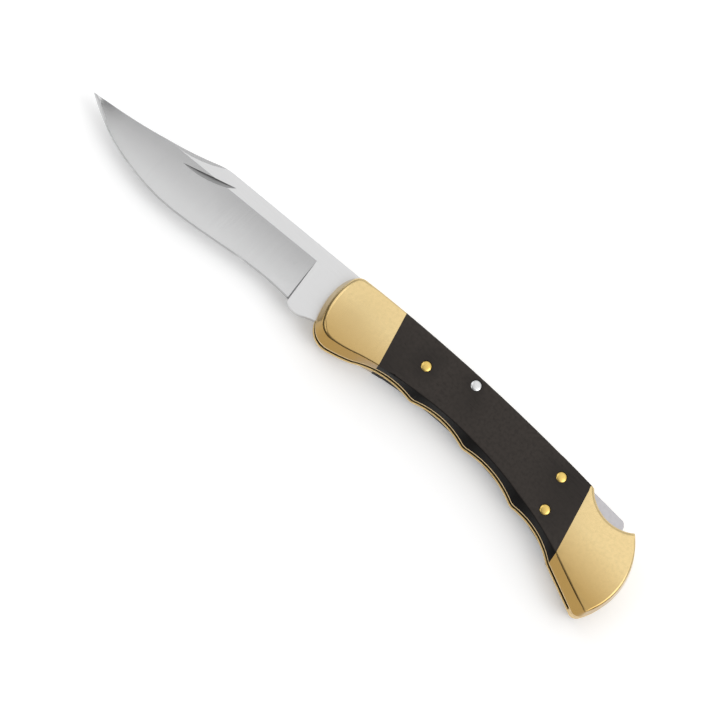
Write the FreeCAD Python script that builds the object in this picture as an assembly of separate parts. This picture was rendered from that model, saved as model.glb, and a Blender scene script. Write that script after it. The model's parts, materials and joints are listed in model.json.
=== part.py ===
import FreeCAD, Part
import math
import os

from FreeCAD import Vector

# Folding knife with a lock bar along its spine, lying open on its lower side.
# Millimetres. X runs from the blade tip to the butt and Y from the belly to the spine, both from
# the blade pivot. Z is up from the outer face of the lower bolsters.

# Stack of plates, from either outer face to the middle
COVER_T = 4.8           # bolsters and scales
LINER_T = 1.3
BLADE_T = 3.05          # blade and lock bar
SIDE_GAP = 0.125        # between a moving plate and its liner
SPRING_SIDE_GAP = 0.15

# Pins and rivets
PIVOT_R = 2.4
LOCK_PIN_R = 1.8
RIVET_R = 1.75
SPACER_PIN_R = 1.2
RUNNING_FIT = 0.03      # radial, on the two pins that something turns on

# Blade
BLADE_REACH = 102.7     # pivot to tip, along X
TIP_DROP = 4.8
CLIP_LENGTH = 40.7
CLIP_TOP = 5.8
CLIP_SAG = 1.3          # hollow of the clip below its chord
CORNER_RUN = 8.0        # rounded corner from the clip to the straight spine
CORNER_SAG = 0.35       # bulge of that corner above its chord
BLADE_SPINE_FRONT = 7.75
BELLY_BACK = 34.7       # tip to the deepest point of the edge
BELLY_DROP = 14.0
EDGE_RISE_BACK = 18.7   # tip to the middle of the edge's rise
EDGE_RISE_DROP = 12.25
RECURVE_BACK = 62.7     # tip to the slack of the recurved edge
RECURVE_DROP = 9.95
HEEL_X = -17.2          # where the edge starts
HEEL_DROP = 7.75
KICK_X = -14.0          # lowest point of the ricasso, which meets the bar when closed
KICK_DROP = 9.4
KICK_BACK_RUN = 4.0     # kick to the back end of its curve
KICK_RISE = 0.9         # rise of that curve at its front end
KICK_BACK_RISE = 1.4
TANG_BELLY_ANGLE = 226.0    # polar angle where the tang's round meets the ricasso
PLUNGE_TOP_X = -19.3
PLUNGE_RUN = 0.6        # length of the slope into the grind
GRIND_TOP = 6.7         # height of the grind line at the plunge
GRIND_TIP = -2.0        # height of the grind line over the tip
GRIND_SECTIONS = 8
HOLLOW_RATIO = 0.019    # hollow of the grind, for each millimetre of its height
EDGE_BEVEL = 0.55       # width of the honed edge bevel
BEHIND_EDGE_T = 0.55    # thickness at the top of the edge bevel
EDGE_T = 0.14
SWEDGE_BACK = 26.2      # tip to the front end of the bevel on the clip
SWEDGE_W = 1.25
SWEDGE_SLOPE = 0.5      # depth of that bevel for each millimetre of its width
SWEDGE_END_W = 0.05
NICK_BACK = 31.0        # tip to the front end of the nail nick, on the full thickness
NICK_Y = -1.9
NICK_LENGTH = 21.0
NICK_TURN = 19.0        # degrees from X
NICK_DEPTH = 0.75
NICK_TILT = 18.0        # degrees between the cutting wheel's axis and the blade

# Lock
FOLD_ANGLE = 176.0
TANG_R = 8.7
NOSE_GAP = 0.3          # nose of the bar to the bottom of the notch
LOCK_DEPTH = 1.6        # depth by which the tooth and the nose meet
TOOTH_GAP = 0.35        # tooth to the underside of the bar
TOOTH_FRONT_ANGLE = 67.0    # polar angles about the blade pivot
TOOTH_ANGLE = 7.4
LOCK_PLAY_ANGLE = 0.4
NOSE_ANGLE = 7.6
SHOULDER_X = 1.7        # back end of the blade's spine
SHOULDER_GAP = 0.3
STOP_GAP = 0.3          # kick to the underside of the bar, closed
PIN_TO_BUMP = 13.9      # lock bar pin to where the bar meets the spring
LOCK_PIN_DEPTH = 3.28   # below the spine
PIN_WEB = 1.8           # metal of the bar below its pin
BAR_REAR_DEPTH = 4.7
BAR_TAIL_DEPTH = 5.5
BAR_TAIL_R = 2.0
TAIL_GAP = 1.1          # tail of the bar to the butt spacer
BUMP_AHEAD = 13.8       # that place to the deepest point of the closed edge
BUMP_HEIGHT = 0.44
BUMP_LENGTH = 4.0

# Leaf spring
SPRING_T = 1.1
SPRING_GAP = 0.1        # spring to the bump
BLADE_SPRING_GAP = 0.45
BAR_SPRING_ROOM = 1.25  # room for the rear arm to come down
SPRING_ROOT_Y = 5.0
SPRING_SEAT = 4.0       # length held in the spacer

# Handle
TIP_CLEARANCE = 1.6     # closed tip to the spacer
SPINE_APEX_X = 66.0
SPINE_R = 595.0
SPINE_FRONT_X = -4.4
SPINE_BORDER = 0.5      # width of the bevel along the spine
FRONT_JOINT_X = 10.8    # joint of front bolster and scale, at the spine
REAR_JOINT_BACK = 17.5  # slot end to the joint of scale and rear bolster, at the spine
JOINT_LEAN_RATIO = 0.29 # lean of both joints, along X for each millimetre of depth
GROOVE_DEPTH = 2.0
BORDER_GROOVE = 0.4     # what is left of the grooves on the flat face
NOTCH = dict(start=-16.3, bottom=(-5.9, 12.2), end=(1.9, 15.4))     # thumb notch, X from the slot end
NOTCH_BEVEL_W = 0.65
NOTCH_BEVEL_DEPTH = 0.7
SPACER_KNEE_Y = -1.0    # below this the front of the spacer slants back
SPACER_SLANT = 4.0
SPACER_BELLY_Y = -14.4

FRONT_RIVET = (26.4, 6.25)
REAR_RIVETS = ((-25.7, 11.55), (-22.4, 0.9))    # X from the slot end
SPACER_PINS = ((4.2, 8.4), (6.6, -8.4))         # X from the slot end

# Front bolster, at the liner, then on the face: its foremost point, and where its round belly ends
# with the heading there
FRONT_EDGE = dict(nose=(-9.2, 4.4), belly=(1.5, -10.4), belly_heading=15.0)
FRONT_FACE = dict(nose=(-7.9, 4.2), belly=(0.6, -8.35), belly_heading=10.0)
# Points between the finger grooves, at the liner, then on the face
CUSPS_EDGE = ((9.5, -7.5), (30.5, -3.0), (51.5, -2.0), (74.0, -4.1))
CUSPS_FACE = ((9.5, -5.85), (30.5, -1.1), (51.5, 0.4), (74.0, -1.6))
# Rear bolster from the last groove round to the thumb notch, X from the slot end
REAR_EDGE = dict(
    groove_end=(-10.4, -8.7), belly_end=(5.4, -14.7), corner=(7.0, -14.35), corner_end=(8.2, -13.2),
    butt=(10.75, 1.9), horn=(3.0, 15.1))
REAR_FACE = dict(
    groove_end=(-11.0, -6.1), belly_end=(7.45, -12.5), corner=(7.77, -12.43), corner_end=(8.0, -12.2),
    butt=(9.9, 1.5), horn=(2.7, 14.6))

# Worked out from the above
SLOT_T = BLADE_T + 2 * SIDE_GAP
MID_Z = COVER_T + LINER_T + SLOT_T / 2
TOTAL_T = 2 * MID_Z
NOSE_R = TANG_R + NOSE_GAP
TOOTH_R = NOSE_R + LOCK_DEPTH
BAR_CLEAR_R = TOOTH_R + TOOTH_GAP
TIP = Vector(-BLADE_REACH, -TIP_DROP, 0)
CLIP_END = Vector(TIP.x + CLIP_LENGTH, CLIP_TOP, 0)
SLOT_END = TIP.Length + TIP_CLEARANCE
FAR = 4 * SLOT_END


def turned(point, degrees):
    """The point turned about the blade pivot."""
    angle = math.radians(degrees)
    return Vector(point.x * math.cos(angle) - point.y * math.sin(angle),
                  point.x * math.sin(angle) + point.y * math.cos(angle), point.z)


def polar(radius, degrees):
    return turned(Vector(radius, 0, 0), degrees)


def raised(points, z=0):
    return [Vector(x, y, z) for x, y in points]


BELLY_CLOSED = turned(Vector(-BLADE_REACH + BELLY_BACK, -BELLY_DROP, 0), FOLD_ANGLE)
KICK_CLOSED = turned(Vector(KICK_X, -KICK_DROP, 0), FOLD_ANGLE)
SPINE_APEX_Y = BELLY_CLOSED.y + BLADE_SPRING_GAP + SPRING_T + BAR_SPRING_ROOM + BAR_REAR_DEPTH


def spine(x, inset=0.0):
    """Point on the handle's spine line, or on a line inside it."""
    radius = SPINE_R - inset
    rise = radius - math.sqrt(radius ** 2 - (x - SPINE_APEX_X) ** 2)
    return Vector(x, SPINE_APEX_Y - inset - rise, 0)


BUMP_X = BELLY_CLOSED.x - BUMP_AHEAD
LOCK_PIN_X = BUMP_X - PIN_TO_BUMP
LOCK_PIN = spine(LOCK_PIN_X) - Vector(0, LOCK_PIN_DEPTH, 0)
BAR_UNDER_Y = SPINE_APEX_Y - BAR_REAR_DEPTH
BUMP_Y = BAR_UNDER_Y - BUMP_HEIGHT


def line(a, b):
    return Part.LineSegment(a, b).toShape()


def arc(a, through, b):
    return Part.Arc(a, through, b).toShape()


def spline(points):
    curve = Part.BSplineCurve()
    curve.interpolate(points)
    return curve


def bow(a, b, sag):
    """Curve from a to b, bowed to the left of that direction by sag."""
    along = b - a
    side = Vector(-along.y, along.x, 0).normalize()
    return Part.Arc(a, (a + b) / 2 + side * sag, b)


def tangent_arc(a, heading, b):
    """Arc from a to b that leaves a along the heading."""
    chord = b - a
    along = heading.dot(chord) / chord.Length
    aside = heading - chord * along / chord.Length
    turn = math.atan2(aside.Length, along)
    return arc(a, (a + b) / 2 + aside.normalize() * chord.Length / 2 * math.tan(turn / 2), b)


def biarc(a, leaving, b, arriving):
    """Two arcs that run smoothly from a to b with the given headings at their ends."""
    across = b - a
    both = across.dot(leaving + arriving)
    bend = 2 * (1 - leaving.dot(arriving))
    reach = (math.sqrt(both ** 2 + bend * across.dot(across)) - both) / bend
    middle = (a + b + (leaving - arriving) * reach) / 2
    return [tangent_arc(a, leaving, middle), tangent_arc(b, -arriving, middle)]


def about_pivot(radius, start, end):
    """Arc about the blade pivot between two polar angles."""
    return arc(polar(radius, start), polar(radius, (start + end) / 2), polar(radius, end))


def run(*points):
    return [line(a, b) for a, b in zip(points, points[1:])]


def slab(edges, thickness, z=0.0):
    """Plate of the outline that the edges close, lying from z up."""
    face = Part.Face(Part.Wire(edges))
    solid = face.extrude(Vector(0, 0, thickness))
    solid.translate(Vector(0, 0, z))
    return solid


def pin(at, radius, bottom, top):
    return Part.makeCylinder(radius, top - bottom, Vector(at.x, at.y, bottom))


def mirrored(shape):
    return shape.mirror(Vector(0, 0, MID_Z), Vector(0, 0, 1))


def from_slot_end(point):
    x, y = point
    return Vector(SLOT_END + x, y, 0)


def front_outline(shape, start, end):
    """Round front of the handle, from the spine by its nose to the first finger groove."""
    nose, belly = raised((shape["nose"], shape["belly"]))
    along_spine = Vector(SPINE_R, SPINE_APEX_X - start.x, 0).normalize()
    belly_heading = turned(Vector(1, 0, 0), shape["belly_heading"])
    down = Vector(0, -1, 0)
    edges = biarc(start, -along_spine, nose, down) + biarc(nose, down, belly, belly_heading)
    return edges + [tangent_arc(belly, belly_heading, end)]


def notch_arc():
    """Thumb notch from the butt's horn to the spine, upright through all the plates."""
    return arc(from_slot_end(NOTCH["end"]), from_slot_end(NOTCH["bottom"]), spine(SLOT_END + NOTCH["start"]))


def handle_outline(front, cusps, groove, rear, border):
    """Closed outline of the handle: grooved at the liners, or smoother on the flat face."""
    start = spine(SPINE_FRONT_X, border)
    points = {name: from_slot_end(at) for name, at in rear.items()}
    peaks = raised(cusps) + [points["groove_end"]]
    edges = front_outline(front, start, peaks[0])
    edges += [bow(a, b, groove).toShape() for a, b in zip(peaks, peaks[1:])]
    edges += [
        line(points["groove_end"], points["belly_end"]),
        arc(points["belly_end"], points["corner"], points["corner_end"]),
        arc(points["corner_end"], points["butt"], points["horn"]),
        line(points["horn"], from_slot_end(NOTCH["end"])),
        notch_arc(),
        arc(spine(SLOT_END + NOTCH["start"]), spine(SPINE_APEX_X / 2, border), start),
    ]
    return edges


def liner_outline():
    return handle_outline(FRONT_EDGE, CUSPS_EDGE, GROOVE_DEPTH, REAR_EDGE, 0.0)


def face_outline():
    return handle_outline(FRONT_FACE, CUSPS_FACE, BORDER_GROOVE, REAR_FACE, SPINE_BORDER)


def joint_side(x, left):
    """Block on one side of the leaning joint that crosses the spine at x."""
    top = spine(x)
    foot = top + Vector(JOINT_LEAN_RATIO * FAR, -FAR, 0)
    head = top - Vector(JOINT_LEAN_RATIO * FAR, -FAR, 0)
    away = Vector(-FAR if left else FAR, 0, 0)
    return slab(run(foot, head, head + away, foot + away, foot), FAR, -FAR / 2)


REAR_JOINT = SLOT_END - REAR_JOINT_BACK
RIVETS = dict(
    front_rivet=Vector(*FRONT_RIVET, 0),
    rear_spine_rivet=from_slot_end(REAR_RIVETS[0]),
    rear_belly_rivet=from_slot_end(REAR_RIVETS[1]))
SPACER_PIN_PLACES = dict(
    spacer_pin_spine=from_slot_end(SPACER_PINS[0]),
    spacer_pin_belly=from_slot_end(SPACER_PINS[1]))


def spacer_pins():
    """Pins through the liners and the spacer, covered by the bolsters."""
    return {name: pin(at, SPACER_PIN_R, COVER_T, TOTAL_T - COVER_T) for name, at in SPACER_PIN_PLACES.items()}


def cover_holes():
    """The pins and rivets that reach the outer faces, at their full length, to cut the plates with."""
    holes = [pin(Vector(0, 0, 0), PIVOT_R, 0, TOTAL_T), pin(LOCK_PIN, LOCK_PIN_R, 0, TOTAL_T)]
    holes += [pin(at, RIVET_R, 0, TOTAL_T) for at in RIVETS.values()]
    return Part.makeCompound(holes)


def liner_holes():
    return Part.makeCompound([cover_holes()] + list(spacer_pins().values()))


def notch_bevel():
    """Cone that eases the thumb notch on the upper face."""
    notch = notch_arc().Curve
    base = notch.Center + Vector(0, 0, TOTAL_T - NOTCH_BEVEL_DEPTH)
    return Part.makeCone(notch.Radius, notch.Radius + NOTCH_BEVEL_W, NOTCH_BEVEL_DEPTH, base)


def cover():
    """Bolsters and scale of the upper side in one, as they are ground together."""
    bottom = TOTAL_T - COVER_T
    wires = []
    for outline, z in ((liner_outline, bottom), (face_outline, TOTAL_T)):
        wire = Part.Wire(outline())
        wire.translate(Vector(0, 0, z))
        wires.append(wire)
    return Part.makeLoft(wires, True, True).cut(notch_bevel()).cut(cover_holes())


def covers():
    whole = cover()
    ahead = joint_side(FRONT_JOINT_X, True)
    behind = joint_side(REAR_JOINT, False)
    return dict(
        front_bolster=whole.common(ahead),
        scale=whole.cut(ahead).cut(behind),
        rear_bolster=whole.common(behind))


def liner():
    return slab(liner_outline(), LINER_T, MID_Z + SLOT_T / 2).cut(liner_holes())


def spring_edges(back):
    """Outline of the leaf from its tip to an end held in the spacer."""
    half = SPRING_T / 2
    root = Vector(SLOT_END, SPRING_ROOT_Y, 0)
    over_belly = BELLY_CLOSED + Vector(0, BLADE_SPRING_GAP + half, 0)
    tip = Vector(BUMP_X, BUMP_Y - SPRING_GAP - half, 0)
    circle = arc(root, over_belly, tip).Curve
    middle = circle.Center

    def on(x, offset):
        radius = circle.Radius + offset
        return Vector(x, middle.y + math.sqrt(radius ** 2 - (x - middle.x) ** 2), 0)

    end = SLOT_END + back
    centre = (end + BUMP_X) / 2
    return [
        arc(on(end, half), on(centre, half), on(BUMP_X, half)),
        line(on(BUMP_X, half), on(BUMP_X, -half)),
        arc(on(BUMP_X, -half), on(centre, -half), on(end, -half)),
        line(on(end, -half), on(end, half)),
    ]


def leaf_spring():
    width = SLOT_T - 2 * SPRING_SIDE_GAP
    return slab(spring_edges(SPRING_SEAT), width, MID_Z - width / 2)


def butt_spacer():
    """Block that closes the slot at the butt and holds the root of the spring."""
    knee = Vector(SLOT_END, SPACER_KNEE_Y, 0)
    foot = Vector(SLOT_END + SPACER_SLANT, SPACER_BELLY_Y, 0)
    below = foot - Vector(0, FAR, 0)
    above = knee + Vector(0, FAR, 0)
    away = Vector(FAR, 0, 0)
    behind = slab(run(above, knee, foot, below, below + away, above + away, above), FAR, -FAR / 2)
    block = slab(liner_outline(), SLOT_T, MID_Z - SLOT_T / 2).common(behind)
    seat = slab(spring_edges(SPRING_SEAT), SLOT_T, MID_Z - SLOT_T / 2)
    return block.cut(seat).cut(liner_holes())


def lock_bar():
    """Rocker with its nose in the notch of the tang and its tail in the thumb notch."""
    front_x = SHOULDER_X + SHOULDER_GAP
    nose_back = TOOTH_FRONT_ANGLE + LOCK_PLAY_ANGLE
    nose_front = nose_back + NOSE_ANGLE
    tooth_back = TOOTH_FRONT_ANGLE - TOOTH_ANGLE - 2 * LOCK_PLAY_ANGLE
    tail_x = SLOT_END - TAIL_GAP
    apex = spine(SPINE_APEX_X)
    front_top = spine(front_x)
    lip = Vector(front_x, math.sqrt(BAR_CLEAR_R ** 2 - front_x ** 2), 0)
    tail_top = Vector(tail_x - BAR_TAIL_R, SPINE_APEX_Y, 0)
    tail_end = Vector(tail_x, SPINE_APEX_Y - BAR_TAIL_DEPTH / 2, 0)
    tail_under = tail_top - Vector(0, BAR_TAIL_DEPTH, 0)
    bump_back = BUMP_X + BUMP_LENGTH
    pin_under_y = LOCK_PIN.y - LOCK_PIN_R - PIN_WEB
    pin_reach = LOCK_PIN_R + 2 * PIN_WEB
    underside = run(
        tail_under,
        Vector(bump_back + BUMP_LENGTH, BAR_UNDER_Y, 0),
        Vector(bump_back, BUMP_Y, 0),
        Vector(BUMP_X - BUMP_LENGTH / 2, BUMP_Y, 0),
        Vector(LOCK_PIN_X + pin_reach, pin_under_y, 0),
        Vector(LOCK_PIN_X - pin_reach, pin_under_y, 0),
        Vector(KICK_CLOSED.x, KICK_CLOSED.y + STOP_GAP, 0),
        polar(BAR_CLEAR_R, tooth_back))
    edges = [
        arc(front_top, spine(SPINE_APEX_X / 2), apex),
        line(apex, tail_top),
        arc(tail_top, tail_end, tail_under),
    ]
    edges += underside
    edges += [
        about_pivot(BAR_CLEAR_R, tooth_back, nose_back),
        line(polar(BAR_CLEAR_R, nose_back), polar(NOSE_R, nose_back)),
        about_pivot(NOSE_R, nose_back, nose_front),
        line(polar(NOSE_R, nose_front), polar(BAR_CLEAR_R, nose_front)),
        line(polar(BAR_CLEAR_R, nose_front), lip),
        line(lip, front_top),
    ]
    bar = slab(edges, BLADE_T, MID_Z - BLADE_T / 2)
    return bar.cut(pin(LOCK_PIN, LOCK_PIN_R + RUNNING_FIT, 0, TOTAL_T))


def edge_curve():
    """Cutting edge from the tip back to the heel."""
    return spline([
        TIP,
        TIP + Vector(EDGE_RISE_BACK, TIP_DROP - EDGE_RISE_DROP, 0),
        TIP + Vector(BELLY_BACK, TIP_DROP - BELLY_DROP, 0),
        TIP + Vector(RECURVE_BACK, TIP_DROP - RECURVE_DROP, 0),
        Vector(HEEL_X, -HEEL_DROP, 0)])


def clip_curve():
    """Hollow line of the clip from its top to the tip."""
    return bow(CLIP_END, TIP, CLIP_SAG)


def corner_curve():
    """Rounded corner from the straight spine to the top of the clip."""
    return bow(CLIP_END + Vector(CORNER_RUN, BLADE_SPINE_FRONT - CLIP_TOP, 0), CLIP_END, -CORNER_SAG)


def tang_outline():
    """Back of the blade from the ricasso round to the end of the spine, with the locking tooth."""
    tooth_back = TOOTH_FRONT_ANGLE - TOOTH_ANGLE
    notch_front = math.degrees(math.acos(SHOULDER_X / TANG_R))
    return [
        about_pivot(TANG_R, TANG_BELLY_ANGLE - 360, tooth_back),
        line(polar(TANG_R, tooth_back), polar(TOOTH_R, tooth_back)),
        about_pivot(TOOTH_R, tooth_back, TOOTH_FRONT_ANGLE),
        line(polar(TOOTH_R, TOOTH_FRONT_ANGLE), polar(TANG_R, TOOTH_FRONT_ANGLE)),
        about_pivot(TANG_R, TOOTH_FRONT_ANGLE, notch_front),
        line(polar(TANG_R, notch_front), spine(SHOULDER_X)),
    ]


def blade_outline():
    heel = Vector(HEEL_X, -HEEL_DROP, 0)
    kick = Vector(KICK_X, -KICK_DROP, 0)
    kick_front = Vector(HEEL_X, kick.y + KICK_RISE, 0)
    kick_back = kick + Vector(KICK_BACK_RUN, KICK_BACK_RISE, 0)
    edges = [
        clip_curve().toShape(),
        edge_curve().toShape(),
        line(heel, kick_front),
        arc(kick_front, kick, kick_back),
        line(kick_back, polar(TANG_R, TANG_BELLY_ANGLE)),
    ]
    edges += tang_outline()
    edges += [
        line(spine(SHOULDER_X), corner_curve().StartPoint),
        corner_curve().toShape(),
    ]
    return edges


def height_at(curve, x):
    """Height of a plan curve where it crosses x."""
    crossing = curve.intersectCS(Part.Plane(Vector(x, 0, 0), Vector(1, 0, 0)))
    return crossing[0][0].Y


def grind_section(x, edge_y, grind_y):
    """Section of what the grinding wheel and the honing stone take off the upper side."""
    face = BLADE_T / 2
    over = face + BLADE_T
    shoulder_y = edge_y + EDGE_BEVEL
    slope = (face - BEHIND_EDGE_T / 2) / (grind_y - shoulder_y)

    def at(y, z):
        return Vector(x, y, MID_Z + z)

    middle_y = (grind_y + shoulder_y) / 2
    middle_z = BEHIND_EDGE_T / 2 + slope * (middle_y - shoulder_y)
    sag = HOLLOW_RATIO * (grind_y - shoulder_y)
    edges = [arc(at(grind_y, face), at(middle_y, middle_z - sag), at(shoulder_y, BEHIND_EDGE_T / 2))]
    edges += run(at(shoulder_y, BEHIND_EDGE_T / 2), at(edge_y, EDGE_T / 2), at(edge_y - BLADE_T, 0),
                 at(edge_y - BLADE_T, over), at(grind_y, over), at(grind_y, face))
    return Part.Wire(edges)


def plunge_side():
    """Block in front of the plunge line, whose back slopes down into the blade."""
    top = Vector(PLUNGE_TOP_X, GRIND_TOP, MID_Z + BLADE_T / 2)
    foot = Vector(HEEL_X, -HEEL_DROP, MID_Z + BLADE_T / 2)
    along = (foot - top).normalize()
    ahead = Vector(along.y, -along.x, 0)
    back = top - along * FAR / 2
    up = Vector(0, 0, BLADE_T)
    down = ahead * PLUNGE_RUN - up / 2
    profile = run(back + up, back, back + down, back + ahead * FAR + down - ahead * PLUNGE_RUN,
                  back + ahead * FAR + up, back + up)
    return Part.Face(Part.Wire(profile)).extrude(along * FAR)


def hollow_grind():
    """Cutter for the upper side of the blade, through sections from the plunge to past the tip."""
    edge = edge_curve()
    slope = (GRIND_TOP - GRIND_TIP) / (BLADE_REACH + PLUNGE_TOP_X)
    step = (BLADE_REACH + HEEL_X) / GRIND_SECTIONS
    sections = []
    for index in range(GRIND_SECTIONS + 1):
        x = HEEL_X - index * step
        grind_y = GRIND_TOP + slope * (x - PLUNGE_TOP_X)
        sections.append(grind_section(x, height_at(edge, x), grind_y))
    first = grind_section(HEEL_X + step, -HEEL_DROP, GRIND_TOP + slope * (HEEL_X + step - PLUNGE_TOP_X))
    last = sections[-1].copy()
    last.translate(Vector(-BLADE_T, 0, 0))
    return Part.makeLoft([first] + sections + [last], True, False).common(plunge_side())


def swedge():
    """Cutter for the narrow bevel along the upper side of the clip and over its corner."""
    clip = clip_curve().toBSpline()
    corner = corner_curve().toBSpline()
    face = MID_Z + BLADE_T / 2
    start = TIP.x + SWEDGE_BACK
    widths = (
        (clip, start, SWEDGE_END_W),
        (clip, (start + CLIP_END.x) / 2, SWEDGE_W),
        (clip, CLIP_END.x - SWEDGE_W, SWEDGE_W),
        (corner, CLIP_END.x + CORNER_RUN / 2, SWEDGE_END_W))
    sections = []
    for curve, x, width in widths:
        y = height_at(curve, x)
        low = Vector(x, y - width, face)
        deep = Vector(x, y + width, face - 2 * width * SWEDGE_SLOPE)
        over = Vector(x, y + width, face + BLADE_T)
        sections.append(Part.makePolygon([low, deep, over, low]))
    return Part.makeLoft(sections, True, False)


def nail_nick():
    """Edge of a wheel tilted so that it cuts a crescent with one straight side."""
    along = turned(Vector(1, 0, 0), NICK_TURN)
    across = Vector(along.y, -along.x, 0)
    tilt = math.radians(NICK_TILT)
    axis = across * math.cos(tilt) + Vector(0, 0, math.sin(tilt))
    outward = Vector(0, 0, math.cos(tilt)) - across * math.sin(tilt)
    depth = NICK_DEPTH / math.cos(tilt)
    radius = (NICK_LENGTH ** 2 / 4 + depth ** 2) / (2 * depth)
    start = Vector(TIP.x + NICK_BACK, NICK_Y, MID_Z + BLADE_T / 2)
    centre = start + along * NICK_LENGTH / 2 + outward * (radius - depth)
    return Part.makeCylinder(radius, BLADE_T, centre, axis)


def blade():
    plate = slab(blade_outline(), BLADE_T, MID_Z - BLADE_T / 2)
    for cutter in (hollow_grind(), swedge()):
        plate = plate.cut(cutter).cut(mirrored(cutter))
    plate = plate.cut(nail_nick())
    return plate.cut(pin(Vector(0, 0, 0), PIVOT_R + RUNNING_FIT, 0, TOTAL_T))


def pieces():
    parts = dict(
        blade=blade(),
        blade_pivot_pin=pin(Vector(0, 0, 0), PIVOT_R, 0, TOTAL_T),
        lock_bar=lock_bar(),
        lock_bar_pin=pin(LOCK_PIN, LOCK_PIN_R, 0, TOTAL_T),
        leaf_spring=leaf_spring(),
        butt_spacer=butt_spacer())
    parts.update(spacer_pins())
    upper = covers()
    upper["liner"] = liner()
    for name, at in RIVETS.items():
        upper[name] = pin(at, RIVET_R, MID_Z + SLOT_T / 2, TOTAL_T)
    for name, shape in upper.items():
        parts[name + "_upper"] = shape
        parts[name + "_lower"] = mirrored(shape)
    return parts


os.makedirs("parts", exist_ok=True)
for name, shape in pieces().items():
    print(name, shape.ShapeType, len(shape.Solids), shape.isValid(), round(shape.Volume, 2))
    shape.exportStep("parts/" + name + ".step")
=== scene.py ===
"""Finish, light and stage for a lock-back folding knife, laid out as an add-on."""

import json
import math
from collections import namedtuple

import bmesh
import bpy
from bpy.props import FloatProperty, FloatVectorProperty, PointerProperty
from mathutils import Matrix, Vector
from mathutils.kdtree import KDTree


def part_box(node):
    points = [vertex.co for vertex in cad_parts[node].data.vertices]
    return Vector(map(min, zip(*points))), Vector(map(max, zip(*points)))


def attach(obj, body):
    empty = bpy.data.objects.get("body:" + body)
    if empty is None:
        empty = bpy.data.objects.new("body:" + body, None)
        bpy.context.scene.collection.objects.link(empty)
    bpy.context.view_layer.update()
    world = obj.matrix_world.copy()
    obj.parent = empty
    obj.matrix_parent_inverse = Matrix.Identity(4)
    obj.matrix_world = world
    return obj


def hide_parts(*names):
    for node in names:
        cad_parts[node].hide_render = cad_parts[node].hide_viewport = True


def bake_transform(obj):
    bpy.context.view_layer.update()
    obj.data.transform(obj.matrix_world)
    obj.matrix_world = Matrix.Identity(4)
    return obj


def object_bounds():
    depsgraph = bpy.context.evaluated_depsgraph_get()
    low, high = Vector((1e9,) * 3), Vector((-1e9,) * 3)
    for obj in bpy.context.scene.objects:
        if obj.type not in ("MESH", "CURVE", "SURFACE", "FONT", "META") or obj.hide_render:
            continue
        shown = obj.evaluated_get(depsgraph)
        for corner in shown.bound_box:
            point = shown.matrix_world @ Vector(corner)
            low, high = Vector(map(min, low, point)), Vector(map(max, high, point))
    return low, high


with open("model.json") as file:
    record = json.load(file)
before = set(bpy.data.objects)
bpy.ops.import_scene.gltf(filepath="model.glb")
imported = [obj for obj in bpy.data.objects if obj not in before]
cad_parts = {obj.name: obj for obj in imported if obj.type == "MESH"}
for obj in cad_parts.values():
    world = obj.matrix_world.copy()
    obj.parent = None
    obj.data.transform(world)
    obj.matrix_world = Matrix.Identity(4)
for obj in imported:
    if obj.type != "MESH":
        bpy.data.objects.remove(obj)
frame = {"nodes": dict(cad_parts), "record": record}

bl_info = {
    "name": "Folding Knife Finish",
    "version": (1, 0, 0),
    "blender": (4, 5, 0),
    "location": "3D View > Sidebar > Knife",
    "description": "Dresses the pieces of a lock-back folding knife and sets its studio stage",
    "category": "Object",
}

MM = 0.001
SIDES = ("upper", "lower")
RIVETS = ("front_rivet", "rear_spine_rivet", "rear_belly_rivet")

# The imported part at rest
CAD_LOW, CAD_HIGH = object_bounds()
MID_Z = (CAD_LOW.z + CAD_HIGH.z) / 2
COVER_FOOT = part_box("scale_upper")[0].z
COVER_T = CAD_HIGH.z - COVER_FOOT
OUTER_REACH = COVER_FOOT - MID_Z + COVER_T / 2      # from the middle, beyond which a cover's outer face lies
SLOT_OF = {part["node"]: part["material_slot"] for part in frame["record"]["subparts"]}
BODY_OF = {node: body for body, nodes in frame["record"]["behaviour"]["bodies"].items() for node in nodes}
PIN_BOXES = [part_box(node) for node in SLOT_OF
             if node.endswith("_pin") or "_pin_" in node or "_rivet_" in node]

# Reading of the CAD meshes
MERGE = 1e-6
COVER_MERGE = 0.02 * MM         # of the covers, so that their rims have no tiny edges
FLAT_ANGLE = math.radians(0.3)
SHARP_ANGLE = math.radians(28)
FACE_NORMAL_Z = 0.999           # least of a face that looks straight up or down
FLAT_NORMAL_Z = 0.9999          # least of the blade's flats, which the foot of the hollow grind comes near
UPRIGHT_NORMAL_Z = 0.05         # most of a face that stands upright
NICK_WALL_Y = -0.8              # most and least of the normals on the nail nick
NICK_WALL_Z = 0.2
NICK_FLOOR_Y = 0.1
HONED_REACH = 0.3 * MM          # half the blade's thickness at the top of the honed bevel, and a little
PLUNGE_X = -0.5                 # most of the normals where the grind ends, towards the tip
PLUNGE_Z = 0.02
LINER_ROOM = 0.2 * MM
SLOT_REACH = COVER_FOOT - MID_Z - LINER_ROOM    # half the slot's width, and a liner but for that room
BORE_ROOM = 0.2 * MM            # room around a pin in which its bore's rim lies

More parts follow.
